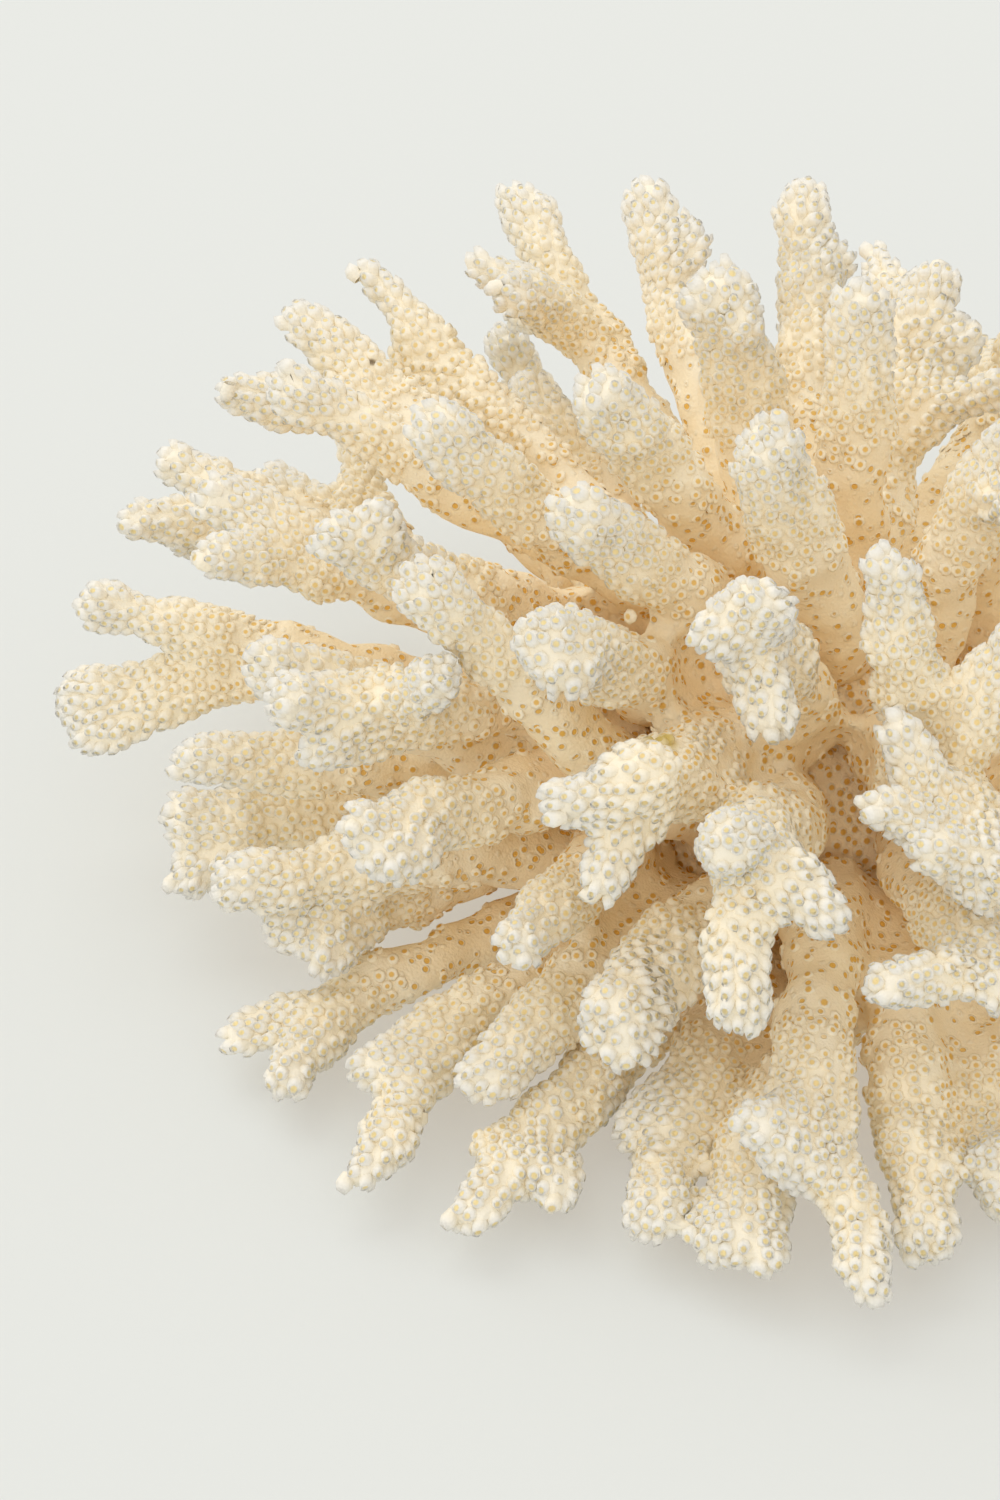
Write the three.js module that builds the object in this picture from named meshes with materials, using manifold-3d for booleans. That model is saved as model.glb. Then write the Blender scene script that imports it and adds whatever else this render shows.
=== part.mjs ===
// A bleached finger coral: one skeleton whose limbs spread from a root that was cut flat off its rock.
// Millimetres, +Z up. The origin is the centre of the cut face, and the cut face lies on Z = 0.
import * as THREE from "three";
import { mergeVertices } from "three/addons/utils/BufferGeometryUtils.js";
import Module from "manifold-3d";

const wasm = await Module();
wasm.setup();

// The root
const ROOT_RADIUS = 32;
const ROOT_HEIGHT = 15;
const ROOT_SIDES = 12;
const ROOT_BANDS = 8;
const ROOT_LUMP = 1.3;

// The limbs
const FINGER_RADIUS = 6.6;
const LIMB_SHAPE = { facets: 6, rings: 5, neck: 0.72 };
const SIDE_SHAPE = { facets: 5, rings: 2, neck: 0.6 };
const NECK_LENGTH = 0.4;
const BELLY = 1.12;
const TAPER = 0.74;
const SHOULDER = 0.62;
const SIDE_GIRTH = 0.88;
const SIDE_TURN = 0.4;
const LUMP = 0.07;
const UNEVEN_WAVES = [
  { seed: 12.9, ring: 4.7, side: 2.3, share: 0.6 },
  { seed: 3.1, ring: 1.9, side: -3.7, share: 0.4 },
];
const CLEARANCE = 0.3;
const FLOOR_CLEARANCE = 0.4;
const SLIVER = 0.4;
const START_RADIUS = ROOT_RADIUS + 0.7;

// How the limbs are spread so that none runs through another
const PATH_POINTS = 12;
const SIDE_POINTS = 4;
const SPREAD_ROUNDS = 140;
const SPREAD_GAP = 0.5;
const STIFFNESS = 0.25;

// The direction that the tips were measured from: this far above level, and this far away
const VIEW_LIFT = THREE.MathUtils.degToRad(35);
const VIEW_DISTANCE = 650;
const VIEW_ACROSS = -47.6;
const VIEW_UP = 7.9;

const CORAL = new THREE.MeshStandardMaterial({ color: 0xf3e9d4, roughness: 0.85, metalness: 0 });
const ROOT_CENTRE = new THREE.Vector3(0, 0, ROOT_HEIGHT);

// A place seen this far across and up from the root, and this much nearer than the root is
function seen(across, up, near) {
  const shrink = 1 - near / VIEW_DISTANCE;
  const x = VIEW_ACROSS + (across - VIEW_ACROSS) * shrink;
  const rise = VIEW_UP + (up - VIEW_UP) * shrink;
  const y = rise * Math.sin(VIEW_LIFT) - near * Math.cos(VIEW_LIFT);
  const z = rise * Math.cos(VIEW_LIFT) + near * Math.sin(VIEW_LIFT) + ROOT_HEIGHT;
  return new THREE.Vector3(x, y, z);
}

// A place this far from the root, by its bearing from +X towards +Y and its lift above level
function towards(bearing, lift, reach) {
  const turn = THREE.MathUtils.degToRad(bearing);
  const rise = THREE.MathUtils.degToRad(lift);
  const flat = reach * Math.cos(rise);
  return new THREE.Vector3(
    flat * Math.cos(turn),
    flat * Math.sin(turn),
    reach * Math.sin(rise) + ROOT_HEIGHT,
  );
}

// Each limb has a tip and a girth against the usual finger, and may have a place that it bends through
// and side fingers, which leave it at a fraction of its length
const LIMBS = {
  upper_left: [
    { girth: 0.8, tip: seen(-70, 85, -24), sides: [{ leaves: 0.55, tip: towards(146, 20, 110) }] },
    { girth: 1, tip: seen(-81, 78, -14), sides: [{ leaves: 0.5, tip: seen(-92, 65, -2) }] },
    { girth: 1, tip: seen(-83, 67, 27) },
    { girth: 1, tip: seen(-101, 54, -16), sides: [{ leaves: 0.55, tip: seen(-107, 45, 2) }] },
    { girth: 1, tip: seen(-95, 49, 30), sides: [{ leaves: 0.45, tip: seen(-95, 39, 40) }] },
    { girth: 1, tip: seen(-76, 42, 53), sides: [{ leaves: 0.8, tip: seen(-65, 46, 53) }] },
    { girth: 1, tip: seen(-61, 36, 70) },
    { girth: 1, tip: seen(-59, 60, 58) },
    { girth: 1.1, tip: seen(-44, 67, -42), sides: [{ leaves: 0.7, tip: seen(-52, 60, -34) }] },
  ],
  left: [
    {
      girth: 1,
      bend: seen(-62, 22, 14),
      tip: seen(-113, 31, 11),
      sides: [
        { leaves: 0.45, girth: 1, tip: seen(-117, 15, 2) },
        { leaves: 0.5, tip: seen(-114, 9, 4) },
      ],
    },
    { girth: 1.05, tip: seen(-86, 22, 46) },
    {
      girth: 1,
      tip: seen(-83, 16, 61),
      sides: [{ leaves: 0.62, tip: seen(-57, 19, 67) }, { leaves: 0.5, tip: seen(-79, 6, 54) }],
    },
    { girth: 1, tip: seen(-99, 6, 30) },
    {
      girth: 1.1,
      tip: seen(-100, -3, 14),
      sides: [{ leaves: 0.7, tip: seen(-98, -14, 16) }],
    },
    { girth: 0.95, tip: seen(-92, -14, 43) },
    { girth: 1, tip: seen(-71, -5, 67), sides: [{ leaves: 0.75, tip: seen(-65, -12, 67) }] },
    {
      girth: 0.95,
      tip: seen(-83, -21, 36),
      sides: [
        { leaves: 0.7, tip: seen(-76, -29, 40) },
        { leaves: 0.5, girth: 0.6, tip: seen(-59, -24, 17) },
      ],
    },
  ],
  top: [
    {
      girth: 1,
      tip: seen(-46, 98, -36),
      sides: [
        { leaves: 0.55, tip: seen(-52, 86, -14) },
        { leaves: 0.6, tip: seen(-47, 81, -6) },
        { leaves: 0.6, tip: towards(116, 20, 108) },
      ],
    },
    { girth: 1.1, tip: seen(-33, 66, 66) },
    {
      girth: 1,
      tip: seen(-25, 97, -14),
      sides: [{ leaves: 0.7, tip: seen(-16, 91, -12) }, { leaves: 0.5, tip: towards(104, 33, 106) }],
    },
    {
      girth: 1.05,
      tip: seen(-13, 84, 43),
      sides: [{ leaves: 0.78, tip: seen(-18, 80, 46) }, { leaves: 0.75, tip: seen(-9, 77, 45) }],
    },
    {
      girth: 1,
      tip: seen(1, 97, -36),
      sides: [
        { leaves: 0.72, tip: seen(6, 87, -32) },
        { leaves: 0.55, tip: towards(86, 24, 110) },
      ],
    },
    { girth: 1.1, tip: seen(10, 82, 50) },
    {
      girth: 1,
      tip: seen(22, 84, -2),
      sides: [
        { leaves: 0.6, tip: seen(11, 88, -14) },
        { leaves: 0.6, tip: seen(28, 75, 3) },
        { leaves: 0.4, tip: seen(34, 66, 10) },
      ],
    },
    { girth: 1.25, tip: seen(-6, 58, 72) },
    { girth: 1, tip: seen(35, 60, 59), sides: [{ leaves: 0.6, tip: seen(36, 46, 69) }] },
  ],
  front: [
    { girth: 1.1, tip: seen(-36, 46, 70) },
    {
      girth: 1.1,
      tip: seen(-41, 26, 78),
      sides: [{ leaves: 0.8, tip: seen(-37, 18, 78) }],
    },
    {
      girth: 1.1,
      bend: seen(-8, 4, 50),
      tip: seen(-10, 33, 82),
      sides: [
        { leaves: 0.82, tip: seen(-2, 30, 80) },
        { leaves: 0.8, tip: seen(-15, 24, 80) },
        { leaves: 0.7, tip: seen(-4, 11, 74) },
      ],
    },
    {
      girth: 1.2,
      tip: seen(-28, 2, 83),
      sides: [
        { leaves: 0.8, tip: seen(-22, 5, 83) },
        { leaves: 0.7, tip: seen(-40, -1, 78) },
        { leaves: 0.65, tip: seen(-32, -16, 78) },
      ],
    },
    {
      girth: 1.15,
      bend: seen(-6, -9, 62),
      tip: seen(-12, -7, 91),
      sides: [
        { leaves: 0.85, tip: seen(-6, -5, 90) },
        { leaves: 0.68, tip: seen(6, -19, 85) },
        { leaves: 0.66, girth: 1.1, tip: seen(-10, -36, 83) },
      ],
    },
    { girth: 0.95, tip: seen(-46, -24, 72) },
    { girth: 1.2, tip: seen(-32, -36, 74), sides: [{ leaves: 0.75, tip: seen(-25, -41, 72) }] },
    { girth: 1.05, tip: seen(-51, -47, 61) },
    {
      girth: 1.4,
      bend: seen(9, 8, 58),
      tip: seen(31, -15, 78),
      sides: [
        { leaves: 0.3, girth: 1.1, tip: seen(38, 28, 74) },
        { leaves: 0.25, girth: 1.05, tip: seen(13, 39, 77) },
        { leaves: 0.62, tip: seen(14, 13, 75) },
        { leaves: 0.66, tip: seen(10, 0, 83) },
        { leaves: 0.8, tip: seen(19, -7, 83) },
      ],
    },
    {
      girth: 1.1,
      bend: seen(9, -16, 59),
      tip: seen(34, -31, 80),
      sides: [{ leaves: 0.7, tip: seen(12, -29, 86) }],
    },
  ],
  lower_front: [
    { girth: 0.85, tip: seen(-91, -39, 37), sides: [{ leaves: 0.65, tip: seen(-81, -47, 46) }] },
    {
      girth: 0.95,
      tip: seen(-69, -44, 51),
      sides: [{ leaves: 0.5, girth: 0.9, tip: seen(-70, -63, 65) }],
    },
    {
      girth: 0.9,
      tip: seen(-53, -69, 71),
      sides: [
        { leaves: 0.6, tip: seen(-38, -66, 68) },
        { leaves: 0.6, girth: 0.8, tip: seen(-52, -57, 58) },
      ],
    },
    {
      girth: 1,
      tip: seen(-24, -71, 73),
      sides: [
        { leaves: 0.5, tip: seen(-20, -65, 73) },
        { leaves: 0.45, girth: 0.8, tip: seen(-31, -55, 56) },
      ],
    },
    { girth: 1.05, tip: seen(-14, -74, 77), sides: [{ leaves: 0.6, tip: seen(-5, -76, 79) }] },
    {
      girth: 1.1,
      bend: seen(3, -30, 58),
      tip: seen(0, -60, 82),
      sides: [{ leaves: 0.75, tip: seen(-8, -52, 85) }, { leaves: 0.45, tip: seen(15, -81, 84) }],
    },
    { girth: 1.1, bend: seen(12, -38, 61), tip: seen(20, -75, 79) },
    { girth: 1.05, tip: seen(35, -67, 71), sides: [{ leaves: 0.75, tip: seen(30, -58, 74) }] },
  ],
  right: [
    {
      girth: 1,
      tip: towards(297, 12, 114),
      sides: [{ leaves: 0.6, tip: towards(306, 5, 112) }, { leaves: 0.65, tip: towards(303, 20, 110) }],
    },
    {
      girth: 1,
      tip: towards(319, 8, 115),
      sides: [{ leaves: 0.55, tip: towards(328, 15, 112) }, { leaves: 0.6, tip: towards(312, 15, 110) }],
    },
    {
      girth: 1.05,
      tip: towards(305, 30, 115),
      sides: [{ leaves: 0.65, tip: towards(314, 25, 110) }, { leaves: 0.7, tip: towards(308, 40, 108) }],
    },
    {
      girth: 1,
      tip: towards(348, 7, 115),
      sides: [{ leaves: 0.6, tip: towards(358, 13, 112) }, { leaves: 0.6, tip: towards(339, 14, 110) }],
    },
    {
      girth: 1,
      tip: towards(330, 34, 115),
      sides: [
        { leaves: 0.6, tip: towards(341, 29, 111) },
        { leaves: 0.55, tip: towards(327, 46, 106) },
        { leaves: 0.3, girth: 1, tip: towards(318, 54, 100) },
      ],
    },
    {
      girth: 1,
      tip: towards(357, 30, 114),
      sides: [{ leaves: 0.6, tip: towards(8, 33, 112) }],
    },
    {
      girth: 1,
      tip: towards(340, 63, 108),
      sides: [
        { leaves: 0.5, tip: towards(6, 54, 108) },
        { leaves: 0.35, girth: 1, tip: towards(336, 50, 102) },
        { leaves: 0.5, tip: towards(27, 64, 104) },
      ],
    },
    {
      girth: 1.05,
      tip: towards(22, 12, 115),
      sides: [{ leaves: 0.6, tip: towards(12, 6, 112) }, { leaves: 0.65, tip: towards(24, 23, 112) }],
    },
    {
      girth: 1,
      tip: towards(34, 36, 113),
      sides: [{ leaves: 0.6, tip: towards(20, 42, 111) }, { leaves: 0.5, tip: towards(42, 48, 106) }],
    },
    {
      girth: 1.05,
      tip: towards(349, 43, 109),
      sides: [{ leaves: 0.7, tip: towards(342, 52, 104) }],
    },
  ],
  back: [
    {
      girth: 1.05,
      tip: towards(52, 8, 116),
      sides: [{ leaves: 0.6, tip: towards(61, 16, 112) }, { leaves: 0.55, tip: towards(43, 16, 112) }],
    },
    {
      girth: 1,
      tip: towards(80, 6, 114),
      sides: [{ leaves: 0.6, tip: towards(88, 14, 112) }, { leaves: 0.55, tip: towards(71, 14, 110) }],
    },
    {
      girth: 1,
      tip: towards(112, 6, 115),
      sides: [{ leaves: 0.6, tip: towards(102, 8, 112) }, { leaves: 0.65, tip: towards(116, 16, 112) }],
    },
    {
      girth: 1.05,
      tip: towards(141, 8, 114),
      sides: [
        { leaves: 0.6, tip: towards(131, 14, 112) },
        { leaves: 0.5, tip: towards(152, 8, 112) },
        { leaves: 0.6, tip: towards(160, 15, 111) },
      ],
    },
    {
      girth: 1.05,
      tip: towards(60, 28, 100),
      sides: [{ leaves: 0.6, tip: towards(74, 24, 96) }, { leaves: 0.5, tip: towards(53, 43, 98) }],
    },
  ],
};

// A steady unevenness between -1 and 1, from two crossing waves
function uneven(seed, ring, side) {
  const [broad, narrow] = UNEVEN_WAVES.map((wave) =>
    Math.sin(seed * wave.seed + ring * wave.ring + side * wave.side) * wave.share,
  );
  return broad + narrow;
}

// A geometry whose faces share their corners, so that its seam and poles are closed
function welded(geometry) {
  geometry.deleteAttribute("normal");
  geometry.deleteAttribute("uv");
  return mergeVertices(geometry, 1e-4);
}

// A welded geometry as a solid, without the empty faces that its poles leave
function solidOf(geometry) {
  const corners = Array.from(geometry.index.array);
  const triVerts = [];
  for (let i = 0; i < corners.length; i += 3) {
    const [a, b, c] = corners.slice(i, i + 3);
    if (a !== b && b !== c && c !== a) triVerts.push(a, b, c);
  }
  return new wasm.Manifold(
    new wasm.Mesh({
      numProp: 3,
      vertProperties: new Float32Array(geometry.attributes.position.array),
      triVerts: new Uint32Array(triVerts),
    }),
  );
}

// How thick a finger is along it: a neck, then a shaft that tapers to the tip
function girthAt(along, neck) {
  const growth = THREE.MathUtils.lerp(neck, 1, Math.min(1, along / NECK_LENGTH));
  return growth * THREE.MathUtils.lerp(BELLY, TAPER, along);
}

// A round finger along a path, bent from a turned one
function finger(path, radius, { facets, rings, neck }, seed) {
  const profile = [new THREE.Vector2(0, 0)];
  for (let ring = 0; ring < rings; ring++) {
    const along = ring / (rings - 1);
    const ledge = ring % 2 ? 1 + LUMP : 1 - LUMP;
    profile.push(new THREE.Vector2(radius * girthAt(along, neck) * ledge, ring));
  }
  profile.push(new THREE.Vector2(radius * SHOULDER, rings), new THREE.Vector2(0, rings));
  const geometry = welded(new THREE.LatheGeometry(profile, facets));
  const frames = path.computeFrenetFrames(rings);
  const places = path.getSpacedPoints(rings);
  const position = geometry.attributes.position;
  for (let i = 0; i < position.count; i++) {
    const ring = position.getY(i);
    const side = Math.round((Math.atan2(position.getZ(i), position.getX(i)) / Math.PI) * facets);
    const swell = 1 + LUMP * uneven(seed, ring, side);
    const place = places[ring].clone();
    place.addScaledVector(frames.normals[ring], position.getX(i) * swell);
    place.addScaledVector(frames.binormals[ring], -position.getZ(i) * swell);
    position.setXYZ(i, place.x, place.y, place.z);
  }
  return solidOf(geometry);
}

// The first path of a limb, from inside the root to its tip
function limbPath(limb) {
  const outward = (limb.bend ?? limb.tip).clone().sub(ROOT_CENTRE).normalize();
  const start = ROOT_CENTRE.clone().addScaledVector(outward, START_RADIUS);
  const through = limb.bend ? [start, limb.bend, limb.tip] : [start, limb.tip];
  return new THREE.CatmullRomCurve3(through).getSpacedPoints(PATH_POINTS - 1);
}

// The path of a side finger, which leaves its limb along it and then turns to its own tip
function sidePath(side, limbPoints) {
  const curve = new THREE.CatmullRomCurve3(limbPoints);
  const start = curve.getPointAt(side.leaves);
  const reach = start.distanceTo(side.tip);
  const turn = start.clone().addScaledVector(curve.getTangentAt(side.leaves), reach * SIDE_TURN);
  return new THREE.QuadraticBezierCurve3(start, turn, side.tip);
}

// Every run of points that takes up room: a limb's own path, then its side fingers
function strandsOf(limb) {
  const girth = FINGER_RADIUS * limb.girth;
  const strands = [{ points: limb.points, radius: girth, limb }];
  for (const side of limb.sides ?? []) {
    const points = sidePath(side, limb.points).getSpacedPoints(SIDE_POINTS).slice(1);
    strands.push({ points, radius: FINGER_RADIUS * (side.girth ?? SIDE_GIRTH), limb, side });
  }
  return strands;
}

// The radius that one point of a strand keeps clear
function roomAt(strand, index) {
  const { neck } = strand.side ? SIDE_SHAPE : LIMB_SHAPE;
  return strand.radius * girthAt(index / (strand.points.length - 1), neck);
}

// Moves two points of different limbs away from each other, each by its share
function pushApart(first, i, second, j) {
  const gap = first.points[i].clone().sub(second.points[j]);
  const wanted = roomAt(first, i) + roomAt(second, j) + SPREAD_GAP;
  const distance = gap.length();
  if (distance >= wanted || distance === 0) return;
  gap.multiplyScalar((wanted - distance) / distance / 2);
  shift(first, i, gap);
  shift(second, j, gap.negate());
}

// A side finger's points move its limb and its tip with them
function shift(strand, index, by) {
  if (!strand.side) {
    strand.points[index].add(by);
    return;
  }
  const along = (index + 1) / strand.points.length;
  const fork = Math.round(strand.side.leaves * (PATH_POINTS - 1));
  strand.limb.points[fork].addScaledVector(by, 1 - along);
  strand.side.tip.addScaledVector(by, along);
}

// Keeps a limb smooth, rooted and above the floor
function settle(limb) {
  const points = limb.points;
  for (let i = 1; i < points.length - 1; i++) {
    const middle = points[i - 1].clone().add(points[i + 1]).multiplyScalar(0.5);
    points[i].lerp(middle, STIFFNESS);
  }
  points[0].sub(ROOT_CENTRE).setLength(START_RADIUS).add(ROOT_CENTRE);
  const lowest = FINGER_RADIUS * limb.girth * BELLY * (1 + LUMP) ** 2 + FLOOR_CLEARANCE;
  for (const point of [...points, ...(limb.sides ?? []).map((side) => side.tip)]) {
    point.z = Math.max(point.z, lowest);
  }
}

// Spreads the limbs until they clear each other
function spread(limbs) {
  for (const limb of limbs) limb.points = limbPath(limb);
  for (let round = 0; round < SPREAD_ROUNDS; round++) {
    const strands = limbs.flatMap(strandsOf);
    for (let a = 0; a < strands.length; a++) {
      for (let b = a + 1; b < strands.length; b++) {
        if (strands[a].limb === strands[b].limb) continue;
        strands[a].points.forEach((_, i) => {
          strands[b].points.forEach((_, j) => pushApart(strands[a], i, strands[b], j));
        });
      }
    }
    limbs.forEach(settle);
  }
}

// A limb with its side fingers, thicker by the allowance
function limbSolid(limb, allowance) {
  const path = new THREE.CatmullRomCurve3(limb.points);
  let solid = finger(path, FINGER_RADIUS * limb.girth + allowance, LIMB_SHAPE, limb.seed);
  (limb.sides ?? []).forEach((side, index) => {
    const radius = FINGER_RADIUS * (side.girth ?? SIDE_GIRTH) + allowance;
    const seed = limb.seed + index + 1;
    solid = solid.add(finger(sidePath(side, limb.points), radius, SIDE_SHAPE, seed));
  });
  return solid.simplify(SLIVER);
}

// The root: a lumpy ball, thicker by the allowance, with its underside cut off flat
function rootSolid(allowance) {
  const ball = welded(new THREE.SphereGeometry(ROOT_RADIUS + allowance, ROOT_SIDES, ROOT_BANDS));
  ball.rotateX(Math.PI / 2);
  const position = ball.attributes.position;
  const place = new THREE.Vector3();
  for (let i = 0; i < position.count; i++) {
    place.fromBufferAttribute(position, i);
    const ring = Math.round(Math.acos(place.z / place.length()) * ROOT_BANDS);
    const side = Math.round(Math.atan2(place.y, place.x) * ROOT_SIDES);
    place.setLength(place.length() - ROOT_LUMP * Math.abs(uneven(1, ring, side))).add(ROOT_CENTRE);
    position.setXYZ(i, place.x, place.y, place.z);
  }
  const below = new THREE.BoxGeometry(ROOT_RADIUS * 4, ROOT_RADIUS * 4, ROOT_RADIUS * 2);
  below.translate(0, 0, -ROOT_RADIUS);
  return solidOf(ball).subtract(solidOf(welded(below)));
}

// The largest body of a solid, for a cut can leave crumbs
function largest(solid) {
  return solid.decompose().sort((a, b) => b.volume() - a.volume())[0];
}

function meshOf(solid, name) {
  const made = solid.getMesh();
  const geometry = new THREE.BufferGeometry();
  geometry.setAttribute("position", new THREE.BufferAttribute(made.vertProperties, 3));
  geometry.setIndex(new THREE.BufferAttribute(made.triVerts, 1));
  geometry.computeVertexNormals();
  const mesh = new THREE.Mesh(geometry, CORAL);
  mesh.name = name;
  return mesh;
}

const limbs = Object.entries(LIMBS).flatMap(([region, group]) =>
  group.map((limb, index) => ({ ...limb, name: `branch_${region}_${index + 1}` })),
);
limbs.forEach((limb, index) => {
  limb.seed = index + 1;
});
spread(limbs);

const coral = new THREE.Group();
coral.add(meshOf(rootSolid(0), "base"));
const rootRoom = rootSolid(CLEARANCE);
const taken = [];
for (const limb of limbs) {
  let solid = limbSolid(limb, 0);
  for (const room of [rootRoom, ...taken]) {
    const shared = solid.intersect(room);
    if (shared.volume() > 0) solid = solid.subtract(room);
  }
  solid = largest(solid);
  coral.add(meshOf(solid, limb.name));
  taken.push(limbSolid(limb, CLEARANCE));
}

export default coral;
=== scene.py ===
"""A bleached finger coral: the fine surface of its limbs and root, the floor, the light and the camera."""

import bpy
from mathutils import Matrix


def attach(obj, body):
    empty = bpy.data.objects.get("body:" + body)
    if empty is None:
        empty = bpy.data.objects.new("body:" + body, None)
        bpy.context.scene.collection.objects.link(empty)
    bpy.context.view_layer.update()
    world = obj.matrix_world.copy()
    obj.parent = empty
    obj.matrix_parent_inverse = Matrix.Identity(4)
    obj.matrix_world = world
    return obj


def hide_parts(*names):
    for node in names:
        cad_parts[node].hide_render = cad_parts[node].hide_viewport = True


bl_info = {
    "name": "Finger coral",
    "version": (1, 0, 0),
    "blender": (4, 5, 0),
    "location": "View3D > Sidebar > Coral",
    "description": "Builds a cupped finger coral over its plain limbs and sets a stage for it",
    "category": "Add Mesh",
}

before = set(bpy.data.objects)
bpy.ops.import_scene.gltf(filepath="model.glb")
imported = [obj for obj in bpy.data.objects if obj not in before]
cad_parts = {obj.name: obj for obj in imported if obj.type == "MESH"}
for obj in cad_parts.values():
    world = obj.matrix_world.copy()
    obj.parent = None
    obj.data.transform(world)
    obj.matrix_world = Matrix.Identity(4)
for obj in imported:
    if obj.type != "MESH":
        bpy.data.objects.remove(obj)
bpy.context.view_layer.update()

import math

import bmesh
import bpy
import numpy as np
from bpy.props import (
    FloatProperty,
    FloatVectorProperty,
    IntProperty,
    PointerProperty,
    StringProperty,
)
from mathutils import Vector, noise

MM = 0.001
SMALLEST = 1e-9
BODY = "root"
ROOT_NODE = "base"
ROOT_CENTRE = Vector((0, 0, 15 * MM))

# The view that the photograph was taken from
VIEW_LIFT = math.radians(35)
VIEW_DISTANCE = 650 * MM
VIEW_CENTRE = Vector((-47.6 * MM, 4.5 * MM, 21.5 * MM))
VIEW_HEIGHT = 238.1 * MM
SENSOR = 36
NEAREST_SEEN = VIEW_DISTANCE / 10

# Where a finger ends in a flat cap in the plain solids: one that another finger cuts into has more corners
CAP_CORNERS = (5, 6)
CAP_AREA = (14e-6, 120e-6)
CAP_ROUNDNESS = 16
CUT_CAP_ROUNDNESS = 18
CAP_FAR_FROM_ROOT = 40 * MM
WELD = 0.01 * MM
FLAT = math.radians(1)

# How the cups lean, and which finger a point of the surface belongs to
AIM_PAST_TIP = 12 * MM
TIP_LEAN = 0.85
SHAFT_LEAN = 0.25
LEANING_FROM = 0.6
OTHER_FINGER = 15 * MM

# How much thinner a finger gets at its very end
TIP_SLIMMING = 0.5 * MM

# Knobs beside the broad lumps: how much finer and how high against them
KNOB_FINENESS = 1.9
KNOB_SHARE = 0.6

# Cups about one unit wide: each ring of a profile is a radius, a height, how deep in the pit it lies
# and how near the rim
TALL_SIDES = 7
TALL_PROFILE = (
    (0.4, -0.75, 0, 0),
    (0.53, 0.2, 0, 0.2),
    (0.31, 0.96, 0.1, 1),
    (0, 0.55, 1, 0),
)
TALL_LIP = 0.2
LOW_SIDES = 7
LOW_PROFILE = (
    (0.48, -0.1, 0, 0),
    (0.3, 0.2, 0.3, 1),
    (0, 0.05, 1, 0),
)
LOW_LIP = 0.1
CUP_WELD = 1e-5

# Where cups grow, and how much they differ
TALL_FROM = 0.22
FULL_HEIGHT_FROM = 0.8
WIDTHS = (0.86, 1.14)
HEIGHTS = (0.8, 1.2)
TIP_CUP_GIRTH = 1.3
TIP_CUP_HEIGHT = 1.05
CANDIDATES = 1.8e6
PACKED_FROM = 0.42
SPARSE = 0.15
BARE_BELOW = 1.2 * MM
BARE_ROUND_TIP_CUP = 1.6 * MM
TIP_NEARBY = 7 * MM

# The root: what it grows by to take in the feet of the limbs, and how deep it is before it is cut
ROOT_SWELL = 1.4 * MM
ROOT_DEPTH = 5 * MM

# Scales of the patterns in the materials
BROAD_PATCHES = 90
PORES = 520
SUGAR = 1500
GRAINS = 2200
SAW_LINES = 260
FLOOR_FIBRES = 900

# Pores that lie flush in the skin, in shares of the distance between two of them
PORE_REACH = 0.29
PORE_RIM = 0.44
PORE_FLOOR = PORE_REACH * 0.7
CUPS_KEEP_OFF = 2

# How deep in a cup's pit its wall turns to the colour of a pore
PIT_EDGE = (0.2, 0.6)

# How the skeleton's colour follows its tipness, which is 1 at a fingertip and 0 past the crown's reach.
# Deep in the colony it turns tan and its pores darker: partly the skeleton's own tone and partly painted
# shade of the crevices
PATCH_MIDDLE = 0.5
PATCHINESS = 0.3
BARE_SHAFT = (0.25, 0.55)
ROOT_TO_SHAFT = (-0.1, 0.5)
SHAFT_TO_TIP = (0.48, 1.08)
DARK_TO_PALE_PORE = (0.0, 0.9)
# Rims of cups and pores are whiter than the walls and valleys below them: the pale rims are the skeleton's
# own, and the cream of the walls and valleys is partly painted warm shade
FLUSH_CREST = 0.5
CREST_ON_SHAFT = 0.4
TIP_WITHOUT_CREST = 0.75
TIP_PER_CREST = 0.5

# The sawn face and its finish
SAWN_BELOW = (0.05 * MM, 0.4 * MM)
SAWN_WAVER = 1
SAWN_PORE_LEFT = 0.6

# Roughness and relief
ROUGHEST = 0.86
ROUGHNESS_RANGE = 0.18
GRAIN_HEIGHT = 0.25 * MM
GRAIN_RELIEF = 0.6
RIM_RELIEF = 1.5
PORE_RELIEF = 4
SAW_RELIEF = 2
CORAL_BUMP = 0.5
FLOOR_BUMP = 0.05
FLOOR_ROUGHNESS = 0.95

# Marks on the skeleton: the middle of each and how far it reaches, and the share of that in full colour
MARK_FULL = 0.3
STAIN = (Vector((-24.7, -50.0, 61.4)) * MM, 3.4 * MM)
SPECKS = (
    (Vector((-68.2, 47.6, 67.5)) * MM, 0.9 * MM),
    (Vector((-104.1, 9.1, 47.2)) * MM, 0.8 * MM),
    (Vector((-88.4, -41.5, 30.2)) * MM, 0.8 * MM),
    (Vector((-80.6, -41.2, 19.7)) * MM, 0.9 * MM),
)

# The stage: light has to bounce often between the limbs to keep the crevices as bright as they are in life,
# and the floor's faint glow keeps the shadows pale
FLOOR_SIZE = 2.5
BOUNCES = 12
# Painted glow: the floor gives off pinkish light of its own, which keeps the shadows on it pale and warm
# and lights the coral from below; the floor's own colour is bluish green so that glow and lit colour add up
# to a neutral grey
FLOOR_GLOW = 0.355
FLOOR_GLOW_COLOUR = (1.0, 0.9, 0.83)
SUN_COLOUR = (1.0, 0.98, 0.94)
KEY_FROM = (-0.45, 0.55, 1.0)
KEY_WIDTH = math.radians(55)
KEY_ENERGY = 0.8
FRONT_FROM = (-0.3, -0.75, 0.65)
FRONT_WIDTH = math.radians(70)
FRONT_ENERGY = 0.6
FILL_ENERGY = 0.85
FILL_COLOUR = (1.0, 0.97, 0.93)

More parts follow.
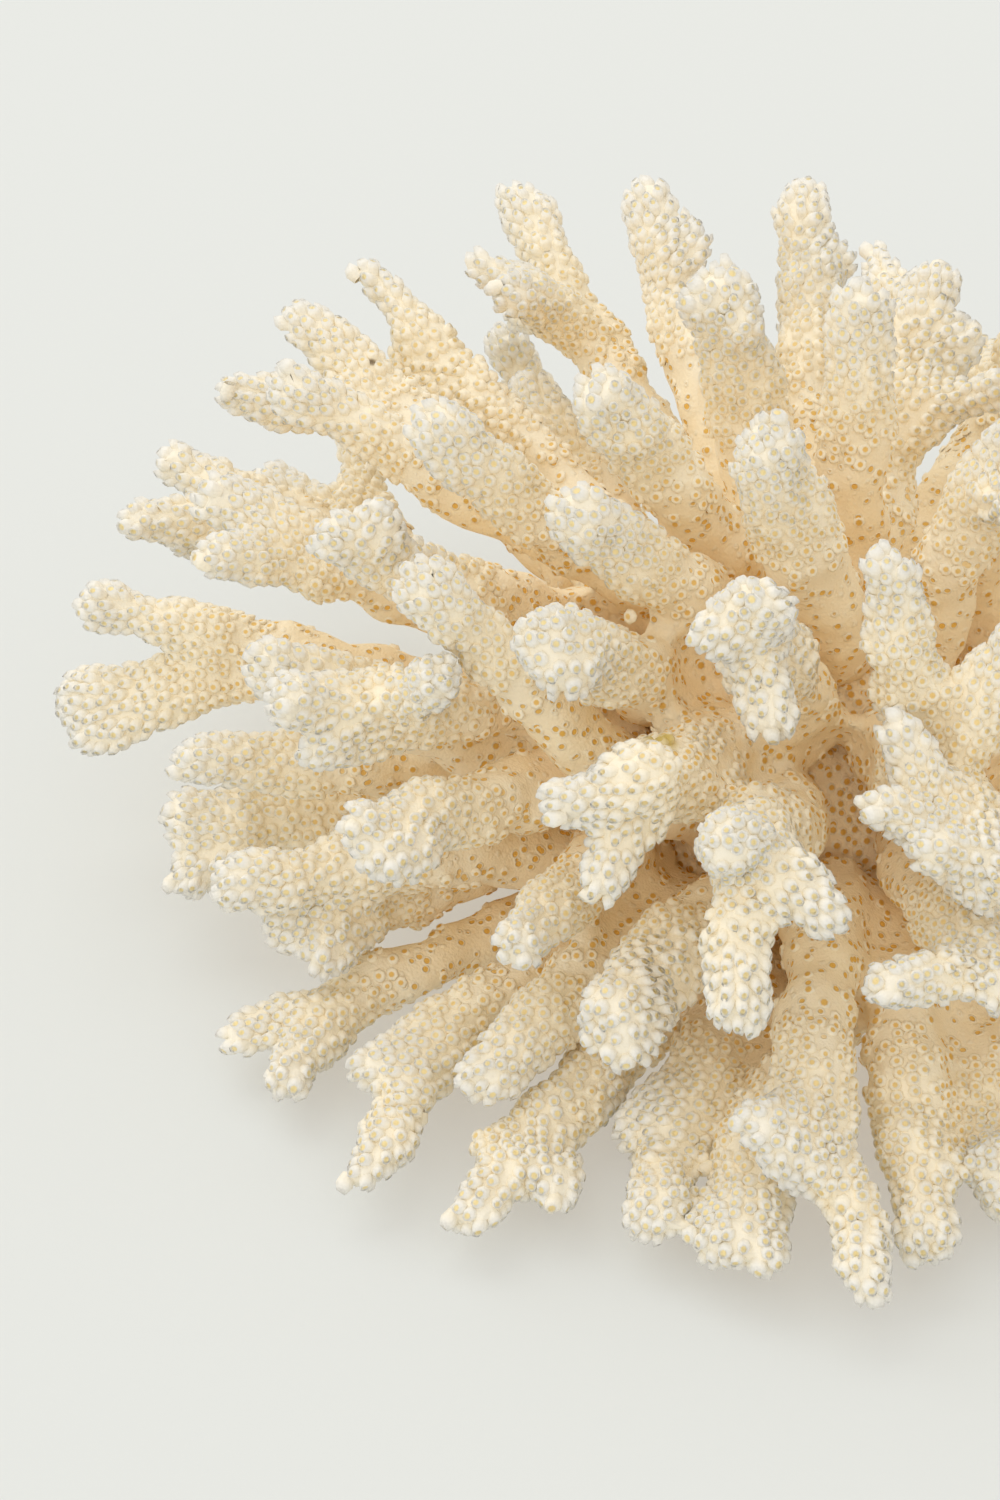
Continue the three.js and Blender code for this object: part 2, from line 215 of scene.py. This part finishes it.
# Names of the values that the surface carries for its material
TIPNESS = "tipness"
PIT = "pit"
RIM = "rim"
CUP = "cup"
LEAN = "lean"
TIPWARD = "tipward"
COVER = "cover"
TIP_TOP = "tip_top"


def regions():
    """The names of the limbs' groups, each with its nodes, in order."""
    found = {}
    for node in sorted(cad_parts):
        if node != ROOT_NODE:
            region = node.removeprefix("branch_").rsplit("_", 1)[0]
            found.setdefault(region, []).append(node)
    return found


class CoralSurface(bpy.types.PropertyGroup):
    """How fine the surface is and how large its cups are."""

    grain: FloatProperty(
        name="Surface grain",
        description="Size of the surface's own faces",
        default=1.9 * MM,
        unit="LENGTH",
    )
    smoothing: IntProperty(
        name="Smoothing",
        description="Rounds of smoothing over the limbs",
        default=6,
        min=0,
    )
    lump_height: FloatProperty(
        name="Lump height",
        description="Height of the broad lumps",
        default=1.6 * MM,
        unit="LENGTH",
    )
    lump_size: FloatProperty(
        name="Lump size",
        description="Size of the broad lumps",
        default=9 * MM,
        unit="LENGTH",
    )
    cup_spacing: FloatProperty(
        name="Cup spacing",
        description="Least distance between cups",
        default=1.6 * MM,
        unit="LENGTH",
    )
    cup_width: FloatProperty(
        name="Cup width",
        description="Width of a cup",
        default=1.98 * MM,
        unit="LENGTH",
    )
    cup_height: FloatProperty(
        name="Cup height",
        description="Height of a cup near a tip",
        default=1.65 * MM,
        unit="LENGTH",
    )
    crown_reach: FloatProperty(
        name="Crown reach",
        description="How far tall cups reach from a tip",
        default=38 * MM,
        unit="LENGTH",
    )
    seed: IntProperty(
        name="Seed",
        description="Which arrangement of cups",
        default=7,
    )


class CoralColours(bpy.types.PropertyGroup):
    """The colours of the skeleton."""

    tip: FloatVectorProperty(
        name="Tip",
        description="Bleached tips",
        subtype="COLOR",
        size=3,
        default=(0.85, 0.83, 0.765),
    )
    shaft: FloatVectorProperty(
        name="Shaft",
        description="Middle of a finger",
        subtype="COLOR",
        size=3,
        default=(0.935, 0.86, 0.69),
    )
    # The root colour is partly the skeleton's own tan and partly painted shade: it colours the deep
    # crevices where the limbs meet
    root: FloatVectorProperty(
        name="Root",
        description="Foot of a limb",
        subtype="COLOR",
        size=3,
        default=(0.93, 0.80, 0.56),
    )
    pale_pore: FloatVectorProperty(
        name="Pale pore",
        description="Pores near a tip",
        subtype="COLOR",
        size=3,
        default=(0.97, 0.81, 0.42),
    )
    # Darker pores deep in the colony: partly their own colour and partly painted shade
    dark_pore: FloatVectorProperty(
        name="Dark pore",
        description="Pores near the root",
        subtype="COLOR",
        size=3,
        default=(0.80, 0.47, 0.09),
    )
    stain: FloatVectorProperty(
        name="Stain",
        description="Stain in a crevice",
        subtype="COLOR",
        size=3,
        default=(0.66, 0.50, 0.14),
    )
    speck: FloatVectorProperty(
        name="Speck",
        description="Specks of dirt",
        subtype="COLOR",
        size=3,
        default=(0.34, 0.27, 0.18),
    )
    # The floor's own colour is bluish green, to offset its painted pinkish glow
    floor: FloatVectorProperty(
        name="Floor",
        description="The plain floor",
        subtype="COLOR",
        size=3,
        default=(0.378, 0.43, 0.435),
    )


def pick(sockets, name):
    """The socket of that number, or the first one of that name that is in use."""
    if isinstance(name, int):
        return sockets[name]
    return next(socket for socket in sockets if socket.enabled and socket.name == name)


class Wire:
    """A node value: arithmetic on it adds the nodes that work it out."""

    def __init__(self, tree, socket):
        self.tree = tree
        self.socket = socket

    def node(self, kind, settings=None, inputs=None, output=0):
        """Adds a node: first its settings, then a value or a link into each named or numbered input."""
        made = self.tree.nodes.new(kind)
        for name, value in (settings or {}).items():
            setattr(made, name, value)
        for name, value in (inputs or {}).items():
            target = pick(made.inputs, name)
            if isinstance(value, Wire):
                self.tree.links.new(value.socket, target)
            else:
                target.default_value = value
        return Wire(self.tree, pick(made.outputs, output) if made.outputs else None)

    def maths(self, operation, *values):
        """One step of arithmetic on this value and others."""
        return self.node("ShaderNodeMath", {"operation": operation}, dict(enumerate(values)))

    def __add__(self, other):
        return self.maths("ADD", self, other)

    __radd__ = __add__

    def __sub__(self, other):
        return self.maths("SUBTRACT", self, other)

    def __rsub__(self, other):
        return self.maths("SUBTRACT", other, self)

    def __mul__(self, other):
        return self.maths("MULTIPLY", self, other)

    __rmul__ = __mul__

    def between(self, low, high):
        """0 below low and 1 above high, smoothly."""
        inputs = {"Value": self, "From Min": low, "From Max": high}
        return self.node("ShaderNodeMapRange", {"interpolation_type": "SMOOTHSTEP"}, inputs)

    def mix(self, low, high):
        """The colour low where this is 0 and high where it is 1."""
        inputs = {"Factor": self, "A": low, "B": high}
        return self.node("ShaderNodeMix", {"data_type": "RGBA"}, inputs, output="Result")


def opaque(colour):
    """A colour with full cover, as a colour socket takes it."""
    return (*colour, 1)


def new_material(name):
    """An empty node material and the wire that its nodes are made from."""
    material = bpy.data.materials.new(name)
    material.use_nodes = True
    tree = material.node_tree
    tree.nodes.clear()
    return material, Wire(tree, None)


def finish_material(start, colour, roughness, bump, **settings):
    """The surface of a material from its colour, roughness and bump."""
    inputs = {"Base Color": colour, "Roughness": roughness, "Normal": bump, **settings}
    surface = start.node("ShaderNodeBsdfPrincipled", inputs=inputs)
    start.node("ShaderNodeOutputMaterial", inputs={"Surface": surface})


def near_mark(start, place, mark):
    """1 in the middle of a mark on the skeleton and 0 past its reach."""
    centre, reach = mark
    ends = {0: place, 1: centre}
    away = start.node("ShaderNodeVectorMath", {"operation": "DISTANCE"}, ends, output="Value")
    return 1 - away.between(reach * MARK_FULL, reach)


def surface_value(start, name):
    """A value that the surface carries at every point."""
    return start.node("ShaderNodeAttribute", {"attribute_name": name}, output="Fac")


def noise_over(start, place, scale, **more):
    """Soft random patches over the surface."""
    inputs = {"Vector": place, "Scale": scale, **more}
    return start.node("ShaderNodeTexNoise", inputs=inputs, output="Fac")


def cells_over(start, place, scale):
    """How far each point is from the middle of its cell, over a surface split into cells."""
    inputs = {"Vector": place, "Scale": scale}
    return start.node("ShaderNodeTexVoronoi", inputs=inputs, output="Distance")


def coral_material(colours):
    """The bleached skeleton: white tips, cream shafts and amber pores, with a sugary grain. Towards the
    root it turns tan and its pores darker, partly its own tone and partly painted shade of the deep
    crevices; the cups' walls and the valleys between them are creamier than their white rims, partly
    painted shade as well.
    """
    material, start = new_material("bleached coral")
    place = start.node("ShaderNodeTexCoord", output="Object")
    tipness = surface_value(start, TIPNESS)
    pit = surface_value(start, PIT)
    rim = surface_value(start, RIM)
    cup = surface_value(start, CUP)
    broad = noise_over(start, place, BROAD_PATCHES, Detail=3)
    fine = noise_over(start, place, SUGAR, Detail=4)
    grain = cells_over(start, place, GRAINS)

    uneven = tipness + (broad - PATCH_MIDDLE) * PATCHINESS
    from_pore = cells_over(start, place, PORES)
    on_shaft = 1 - (tipness + cup * CUPS_KEEP_OFF).between(*BARE_SHAFT)
    flush_rim = (1 - from_pore.between(PORE_REACH, PORE_RIM)) * on_shaft
    flush_pit = (1 - from_pore.between(PORE_FLOOR, PORE_REACH)) * on_shaft
    # Crests whiter, walls and valleys between the cups creamier: partly the skeleton's own pale rims and
    # partly painted warm shade in the valleys
    crest = rim + flush_rim * FLUSH_CREST
    # Tan towards the root: partly the skeleton's own tone and partly painted shade of the deep crevices
    shaftness = (uneven + crest * CREST_ON_SHAFT).between(*ROOT_TO_SHAFT)
    skin = shaftness.mix(opaque(colours.root), opaque(colours.shaft))
    whiteness = (uneven * (TIP_WITHOUT_CREST + crest * TIP_PER_CREST)).between(*SHAFT_TO_TIP)
    skin = whiteness.mix(skin, opaque(colours.tip))
    # Pores darker towards the root: partly their own colour and partly painted shade
    paleness = uneven.between(*DARK_TO_PALE_PORE)
    pore = paleness.mix(opaque(colours.dark_pore), opaque(colours.pale_pore))
    colour = (pit.between(*PIT_EDGE) + flush_pit).mix(skin, pore)

    height = start.node("ShaderNodeSeparateXYZ", inputs={"Vector": place}, output="Z")
    sawn = 1 - height.between(*SAWN_BELOW)
    waves = {"Vector": place, "Scale": SAW_LINES, "Distortion": SAWN_WAVER}
    lines = start.node("ShaderNodeTexWave", inputs=waves, output="Fac")
    colour = (sawn * (1 - flush_pit * SAWN_PORE_LEFT)).mix(colour, opaque(colours.tip))
    colour = near_mark(start, place, STAIN).mix(colour, opaque(colours.stain))
    for speck in SPECKS:
        colour = near_mark(start, place, speck).mix(colour, opaque(colours.speck))

    roughness = ROUGHEST - fine * ROUGHNESS_RANGE
    pores = flush_rim * RIM_RELIEF - flush_pit * PORE_RELIEF
    relief = fine + grain * GRAIN_RELIEF + pores + sawn * lines * SAW_RELIEF
    inputs = {"Strength": CORAL_BUMP, "Distance": GRAIN_HEIGHT, "Height": relief}
    bump = start.node("ShaderNodeBump", inputs=inputs)
    finish_material(start, colour, roughness, bump)
    return material


def floor_material(colours):
    """A plain matt sheet with a painted glow: it gives off faint pinkish light of its own, which keeps the
    shadows on it pale and warm.
    """
    material, start = new_material("pale floor")
    place = start.node("ShaderNodeTexCoord", output="Object")
    fibre = noise_over(start, place, FLOOR_FIBRES)
    inputs = {"Strength": FLOOR_BUMP, "Distance": GRAIN_HEIGHT, "Height": fibre}
    bump = start.node("ShaderNodeBump", inputs=inputs)
    # Painted glow: pinkish light of the floor's own, which keeps its shadows pale and warm
    glow = {"Emission Color": opaque(FLOOR_GLOW_COLOUR), "Emission Strength": FLOOR_GLOW}
    finish_material(start, opaque(colours.floor), FLOOR_ROUGHNESS, bump, **glow)
    return material


def merged_nodes(nodes):
    """A mesh being made from copies of some of the frame's nodes, their loose triangles merged."""
    shape = bmesh.new()
    for node in nodes:
        shape.from_mesh(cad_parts[node].data)
    bmesh.ops.remove_doubles(shape, verts=shape.verts, dist=WELD)
    return shape


def new_piece(name, shape):
    """An object at the origin with the mesh that was made."""
    mesh = bpy.data.meshes.new(name)
    shape.to_mesh(mesh)
    shape.free()
    piece = bpy.data.objects.new(name, mesh)
    bpy.context.scene.collection.objects.link(piece)
    return piece


def apply_modifiers(piece):
    """Makes what a piece's modifiers show its own mesh."""
    depsgraph = bpy.context.evaluated_depsgraph_get()
    mesh = bpy.data.meshes.new_from_object(piece.evaluated_get(depsgraph))
    piece.modifiers.clear()
    piece.data = mesh
    return mesh


def positions(mesh):
    """Every point of a mesh as a row of three numbers."""
    flat = np.empty(len(mesh.vertices) * 3, np.float32)
    mesh.vertices.foreach_get("co", flat)
    return flat.reshape(-1, 3)


def outward(mesh):
    """Every point's normal as a row of three numbers."""
    flat = np.empty(len(mesh.vertices) * 3, np.float32)
    mesh.vertex_normals.foreach_get("vector", flat)
    return flat.reshape(-1, 3)


def unit(rows):
    """Each row at a length of one."""
    return rows / np.maximum(np.linalg.norm(rows, axis=-1, keepdims=True), SMALLEST)


def store(mesh, name, values):
    """Gives the surface a value, or a direction, at every point."""
    kind = "FLOAT" if values.ndim == 1 else "FLOAT_VECTOR"
    field = "value" if values.ndim == 1 else "vector"
    made = mesh.attributes.new(name, kind, "POINT")
    made.data.foreach_set(field, values.astype(np.float32).ravel())


def lump_at(place):
    """How far the skin is raised or sunk at a place: a broad lump with a knob on it."""
    return noise.noise(place) + noise.noise(place * KNOB_FINENESS) * KNOB_SHARE


def skin_over(piece, settings):
    """Turns faceted solids into one soft uneven skin."""
    remesh = piece.modifiers.new("skin", "REMESH")
    remesh.mode = "VOXEL"
    remesh.voxel_size = settings.grain
    remesh.use_smooth_shade = True
    soften = piece.modifiers.new("soften", "SMOOTH")
    soften.iterations = settings.smoothing
    mesh = apply_modifiers(piece)
    points = positions(mesh)
    normals = outward(mesh)
    lumps = np.array([lump_at(Vector(point) / settings.lump_size) for point in points])
    points += normals * (lumps * settings.lump_height)[:, None]
    mesh.vertices.foreach_set("co", points.ravel())
    mesh.update()
    return mesh


def is_cap(face):
    """Whether a flat face is the end of a finger."""
    area = face.calc_area()
    if len(face.verts) < CAP_CORNERS[0] or not CAP_AREA[0] < area < CAP_AREA[1]:
        return False
    whole = len(face.verts) <= CAP_CORNERS[1]
    round_enough = face.calc_perimeter() ** 2 < area * (CAP_ROUNDNESS if whole else CUT_CAP_ROUNDNESS)
    return round_enough and (face.calc_center_median() - ROOT_CENTRE).length > CAP_FAR_FROM_ROOT


def finger_tips(nodes):
    """The centre and the outward direction of each finger's end."""
    shape = merged_nodes(nodes)
    bmesh.ops.dissolve_limit(shape, angle_limit=FLAT, verts=shape.verts, edges=shape.edges)
    shape.normal_update()
    caps = [face for face in shape.faces if is_cap(face)]
    centres = np.array([face.calc_center_median() for face in caps])
    directions = np.array([face.normal for face in caps])
    shape.free()
    return centres, directions


def measure_fingers(mesh, tips, settings):
    """Slims the fingers' ends, and stores how near each point is to one and which way a cup there leans."""
    centres, directions = tips
    points = positions(mesh)
    normals = outward(mesh)
    from_tip = points[:, None] - centres[None]
    distance = np.linalg.norm(from_tip, axis=-1)
    along = (from_tip * directions).sum(-1)
    from_axis = from_tip - along[..., None] * directions
    wrong_side = (from_axis * normals[:, None]).sum(-1) < 0
    nearest = (distance + OTHER_FINGER * wrong_side).argmin(1)
    rows = np.arange(len(points))
    tipness = np.clip(1 - distance[rows, nearest] / settings.crown_reach, 0, 1)
    points -= normals * (TIP_SLIMMING * tipness**2)[:, None]
    mesh.vertices.foreach_set("co", points.ravel())
    aim = centres[nearest] + directions[nearest] * AIM_PAST_TIP
    tipward = unit(aim - points)
    share = SHAFT_LEAN + (TIP_LEAN - SHAFT_LEAN) * np.clip(tipness / LEANING_FROM, 0, 1)
    store(mesh, TIPNESS, tipness)
    store(mesh, LEAN, unit(normals + tipward * share[:, None]))
    store(mesh, TIPWARD, tipward)
    tops = [top_of_tip(points, *tip) for tip in zip(centres, directions)]
    from_top = np.linalg.norm(points[:, None] - points[tops][None], axis=-1).min(1)
    bare = (points[:, 2] < BARE_BELOW) | (from_top < BARE_ROUND_TIP_CUP)
    store(mesh, COVER, np.where(bare, 0, cup_share(tipness)))
    store(mesh, TIP_TOP, np.isin(rows, tops).astype(float))


def cup_share(tipness):
    """How closely cups stand: packed near the tips and sparse at the foot of a limb."""
    grown = np.clip(tipness / PACKED_FROM, 0, 1)
    return SPARSE + (1 - SPARSE) * grown**2


def top_of_tip(points, centre, direction):
    """The number of the point that stands out furthest at the end of a finger."""
    from_centre = points - centre
    near = np.linalg.norm(from_centre, axis=1) < TIP_NEARBY
    return np.where(near, from_centre @ direction, -1).argmax()


def cup_shape(name, sides, profile, lip, material):
    """A small cup, open at its foot: a ring of edges pulled up over its rim and down into its pit."""
    shape = bmesh.new()
    pit = shape.verts.layers.float.new(PIT)
    rim = shape.verts.layers.float.new(RIM)
    cup = shape.verts.layers.float.new(CUP)
    ring = bmesh.ops.create_circle(shape, segments=sides, radius=1)["verts"]
    edges = list(shape.edges)
    for step, (radius, height, depth, crest) in enumerate(profile):
        if step:
            made = bmesh.ops.extrude_edge_only(shape, edges=edges)["geom"]
            ring = [part for part in made if isinstance(part, bmesh.types.BMVert)]
            edges = [part for part in made if isinstance(part, bmesh.types.BMEdge)]
        for vertex in ring:
            flat = vertex.co.xy.normalized()
            rise = height * (1 + lip * flat.x * (radius > 0)) if height > 0 else height
            vertex.co = (flat.x * radius, flat.y * radius, rise)
            vertex[pit] = depth
            vertex[rim] = crest
            vertex[cup] = 1
    bmesh.ops.remove_doubles(shape, verts=shape.verts, dist=CUP_WELD)
    bmesh.ops.recalc_face_normals(shape, faces=shape.faces)
    for face in shape.faces:
        face.smooth = True
    piece = new_piece(name, shape)
    piece.data.materials.append(material)
    return piece


def cup_layer(start, places, rotation, cup, chosen, size):
    """Copies of one cup, each its own mesh, on the chosen places."""
    form = start.node("GeometryNodeObjectInfo", inputs={"Object": cup}, output="Geometry")
    inputs = {"Points": places, "Selection": chosen, "Instance": form, "Rotation": rotation, "Scale": size}
    grown = start.node("GeometryNodeInstanceOnPoints", inputs=inputs)
    return start.node("GeometryNodeRealizeInstances", inputs={"Geometry": grown})


def random_between(start, low, high, seed):
    """A number between low and high, another one at each place."""
    inputs = {"Min": low, "Max": high, "Seed": seed}
    return start.node("FunctionNodeRandomValue", {"data_type": "FLOAT"}, inputs, output="Value")


def cups_over(settings, tall_cup, low_cup):
    """The node group that grows cups over a measured surface: tall near the tips and low elsewhere."""
    tree = bpy.data.node_groups.new("cups over a surface", "GeometryNodeTree")
    tree.interface.new_socket("Geometry", in_out="INPUT", socket_type="NodeSocketGeometry")
    tree.interface.new_socket("Geometry", in_out="OUTPUT", socket_type="NodeSocketGeometry")
    start = Wire(tree, None)
    surface = start.node("NodeGroupInput")

    def stored(name, kind):
        """A value that the surface carries at every point."""
        settings = {"data_type": kind}
        return start.node("GeometryNodeInputNamedAttribute", settings, {"Name": name}, output="Attribute")

    scatter = {
        "Mesh": surface,
        "Distance Min": settings.cup_spacing,
        "Density Max": CANDIDATES,
        "Density Factor": stored(COVER, "FLOAT"),
        "Seed": settings.seed,
    }
    evenly = {"distribute_method": "POISSON"}
    places = start.node("GeometryNodeDistributePointsOnFaces", evenly, scatter)
    rise = {"Vector": stored(LEAN, "FLOAT_VECTOR")}
    upright = start.node("FunctionNodeAlignRotationToVector", {"axis": "Z"}, rise)
    turn = {"Rotation": upright, "Vector": stored(TIPWARD, "FLOAT_VECTOR")}
    rotation = start.node("FunctionNodeAlignRotationToVector", {"axis": "X", "pivot_axis": "Z"}, turn)
    tipness = stored(TIPNESS, "FLOAT")
    width = random_between(start, *WIDTHS, settings.seed + 1) * settings.cup_width
    height = random_between(start, *HEIGHTS, settings.seed + 2) * tipness.between(0, FULL_HEIGHT_FROM)
    more_than = {"data_type": "FLOAT", "operation": "GREATER_THAN"}
    near_tip = start.node("FunctionNodeCompare", more_than, {"A": tipness, "B": TALL_FROM})
    far_from_tip = start.node("FunctionNodeBooleanMath", {"operation": "NOT"}, {0: near_tip})
    tall = {"X": width, "Y": width, "Z": height * settings.cup_height}
    tall_size = start.node("ShaderNodeCombineXYZ", inputs=tall)
    low_size = start.node("ShaderNodeCombineXYZ", inputs={"X": width, "Y": width, "Z": width})
    tall_cups = cup_layer(start, places, rotation, tall_cup, near_tip, tall_size)
    low_cups = cup_layer(start, places, rotation, low_cup, far_from_tip, low_size)
    tip_width = settings.cup_width * TIP_CUP_GIRTH
    tip_size = (tip_width, tip_width, settings.cup_height * TIP_CUP_HEIGHT)
    at_top = stored(TIP_TOP, "BOOLEAN")
    tip_cups = cup_layer(start, surface, rotation, tall_cup, at_top, tip_size)

    joined = tree.nodes.new("GeometryNodeJoinGeometry")
    for part in (surface, tall_cups, low_cups, tip_cups):
        tree.links.new(part.socket, joined.inputs[0])
    end = tree.nodes.new("NodeGroupOutput")
    tree.links.new(joined.outputs[0], end.inputs[0])
    return tree


def grow_cups(piece, settings, material):
    """Covers a measured piece with cups and makes them part of its mesh."""
    tall = cup_shape("tall cup", TALL_SIDES, TALL_PROFILE, TALL_LIP, material)
    low = cup_shape("low cup", LOW_SIDES, LOW_PROFILE, LOW_LIP, material)
    grow = piece.modifiers.new("cups", "NODES")
    grow.node_group = cups_over(settings, tall, low)
    mesh = apply_modifiers(piece)
    bpy.data.objects.remove(tall)
    bpy.data.objects.remove(low)
    points = positions(mesh)
    points[:, 2] = np.maximum(points[:, 2], 0)
    mesh.vertices.foreach_set("co", points.ravel())
    mesh.update()


def shared_material(make, name, colours):
    """The material of that name, made once."""
    return bpy.data.materials.get(name) or make(colours)


def finish_piece(piece, nodes):
    """Ties a finished piece to the frame."""
    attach(piece, BODY)
    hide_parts(*nodes)


class CORAL_OT_limbs(bpy.types.Operator):
    """Grow the limbs of one side of the coral over their plain solids"""

    bl_idname = "coral.limbs"
    bl_label = "Limbs"

    region: StringProperty(
        name="Side",
        description="Which side of the coral",
        default="top",
    )

    def execute(self, context):
        """Grows the skin and the cups of one side's limbs."""
        nodes = regions().get(self.region)
        if not nodes:
            raise RuntimeError(f"the frame has no limbs on the side {self.region!r}")
        settings = context.scene.coral_surface
        material = shared_material(coral_material, "bleached coral", context.scene.coral_colours)
        tips = finger_tips(nodes)
        if not len(tips[0]):
            raise RuntimeError(f"no fingertip was found on the side {self.region!r}")
        piece = new_piece(f"limbs_{self.region}", merged_nodes(nodes))
        mesh = skin_over(piece, settings)
        mesh.materials.append(material)
        measure_fingers(mesh, tips, settings)
        grow_cups(piece, settings, material)
        finish_piece(piece, nodes)
        return {"FINISHED"}


class CORAL_OT_root(bpy.types.Operator):
    """Grow the root that the limbs spread from, cut off flat"""

    bl_idname = "coral.root"
    bl_label = "Root"

    def execute(self, context):
        """Grows the root over its solid, deeper at first so that the cut through it is clean."""
        settings = context.scene.coral_surface
        material = shared_material(coral_material, "bleached coral", context.scene.coral_colours)
        shape = merged_nodes([ROOT_NODE])
        for vertex in shape.verts:
            if vertex.co.z < WELD:
                vertex.co.z = -ROOT_DEPTH
        piece = new_piece("root_lump", shape)
        mesh = skin_over(piece, settings)
        points = positions(mesh) + outward(mesh) * ROOT_SWELL
        mesh.vertices.foreach_set("co", points.ravel())
        mesh.materials.append(material)
        cut_flat(mesh)
        rows = positions(mesh)
        store(mesh, TIPNESS, np.zeros(len(rows)))
        store(mesh, LEAN, outward(mesh))
        store(mesh, TIPWARD, np.tile((0.0, 0.0, 1.0), (len(rows), 1)))
        store(mesh, COVER, (rows[:, 2] > BARE_BELOW).astype(float))
        store(mesh, TIP_TOP, np.zeros(len(rows)))
        grow_cups(piece, settings, material)
        finish_piece(piece, [ROOT_NODE])
        return {"FINISHED"}


def cut_flat(mesh):
    """Cuts the root off along the floor and closes the cut."""
    shape = bmesh.new()
    shape.from_mesh(mesh)
    everything = [*shape.verts, *shape.edges, *shape.faces]
    floor = {"plane_co": (0, 0, 0), "plane_no": (0, 0, 1)}
    cut = bmesh.ops.bisect_plane(shape, geom=everything, clear_inner=True, **floor)
    rim = [part for part in cut["geom_cut"] if isinstance(part, bmesh.types.BMEdge)]
    closed = bmesh.ops.edgeloop_fill(shape, edges=rim)["faces"]
    bmesh.ops.recalc_face_normals(shape, faces=shape.faces)
    for face in closed:
        face.smooth = False
        for edge in face.edges:
            edge.smooth = False
    shape.to_mesh(mesh)
    shape.free()


class CORAL_OT_stage(bpy.types.Operator):
    """Set the pale floor, the soft light and the camera"""

    bl_idname = "coral.stage"
    bl_label = "Stage"

    def execute(self, context):
        """Sets all parts of the stage."""
        self.lay_floor(context)
        self.light(context)
        self.look(context)
        return {"FINISHED"}

    def lay_floor(self, context):
        """Lays a wide flat sheet under the coral."""
        shape = bmesh.new()
        bmesh.ops.create_grid(shape, x_segments=1, y_segments=1, size=FLOOR_SIZE)
        floor = new_piece("floor", shape)
        floor.data.materials.append(floor_material(context.scene.coral_colours))

    def light(self, context):
        """Adds two wide suns and an even fill from all around."""
        self.add_sun(context, "key", KEY_FROM, KEY_WIDTH, KEY_ENERGY)
        self.add_sun(context, "front", FRONT_FROM, FRONT_WIDTH, FRONT_ENERGY)
        world = bpy.data.worlds.new("room")
        world.use_nodes = True
        fill = world.node_tree.nodes["Background"]
        fill.inputs["Color"].default_value = opaque(FILL_COLOUR)
        fill.inputs["Strength"].default_value = FILL_ENERGY
        context.scene.world = world
        context.scene.view_settings.view_transform = "Standard"
        context.scene.cycles.max_bounces = BOUNCES
        context.scene.cycles.diffuse_bounces = BOUNCES

    def add_sun(self, context, name, comes_from, width, energy):
        """Adds a sun as wide as an angle, which shines from a direction towards the coral."""
        sun = bpy.data.lights.new(name, "SUN")
        sun.energy = energy
        sun.color = SUN_COLOUR
        sun.angle = width
        lamp = bpy.data.objects.new(name, sun)
        lamp.rotation_euler = Vector(comes_from).to_track_quat("Z", "Y").to_euler()
        context.scene.collection.objects.link(lamp)

    def look(self, context):
        """Adds the camera at the photograph's angle."""
        lens = bpy.data.cameras.new("camera")
        lens.sensor_fit = "VERTICAL"
        lens.sensor_height = SENSOR
        lens.lens = SENSOR * VIEW_DISTANCE / VIEW_HEIGHT
        lens.clip_start = NEAREST_SEEN
        camera = bpy.data.objects.new("camera", lens)
        towards_camera = Vector((0, -math.cos(VIEW_LIFT), math.sin(VIEW_LIFT)))
        camera.location = VIEW_CENTRE + towards_camera * VIEW_DISTANCE
        camera.rotation_euler = towards_camera.to_track_quat("Z", "Y").to_euler()
        context.scene.collection.objects.link(camera)
        context.scene.camera = camera


class CORAL_PT_panel(bpy.types.Panel):
    """Sidebar panel that lists the coral's pieces"""

    bl_idname = "CORAL_PT_panel"
    bl_label = "Finger coral"
    bl_space_type = "VIEW_3D"
    bl_region_type = "UI"
    bl_category = "Coral"

    def draw(self, context):
        """Lists the settings, the colours and a button for each group of pieces."""
        self.list_settings(context.scene.coral_surface, CoralSurface)
        self.list_settings(context.scene.coral_colours, CoralColours)
        self.layout.operator("coral.root")
        for region in regions():
            self.layout.operator("coral.limbs", text=region).region = region
        self.layout.operator("coral.stage")

    def list_settings(self, owner, group):
        """Lists every setting of one group."""
        for name in group.__annotations__:
            self.layout.prop(owner, name)


CLASSES = (
    CoralSurface,
    CoralColours,
    CORAL_OT_limbs,
    CORAL_OT_root,
    CORAL_OT_stage,
    CORAL_PT_panel,
)


def register():
    """Adds the settings, the operators and the panel."""
    for part in CLASSES:
        bpy.utils.register_class(part)
    bpy.types.Scene.coral_surface = PointerProperty(type=CoralSurface)
    bpy.types.Scene.coral_colours = PointerProperty(type=CoralColours)


def unregister():
    """Takes away what register added."""
    del bpy.types.Scene.coral_colours
    del bpy.types.Scene.coral_surface
    for part in reversed(CLASSES):
        bpy.utils.unregister_class(part)


def main():
    """Builds the stage, the root and every group of limbs."""
    register()
    bpy.ops.coral.stage()
    bpy.ops.coral.root()
    for region in regions():
        bpy.ops.coral.limbs(region=region)


if __name__ == "__main__":
    main()
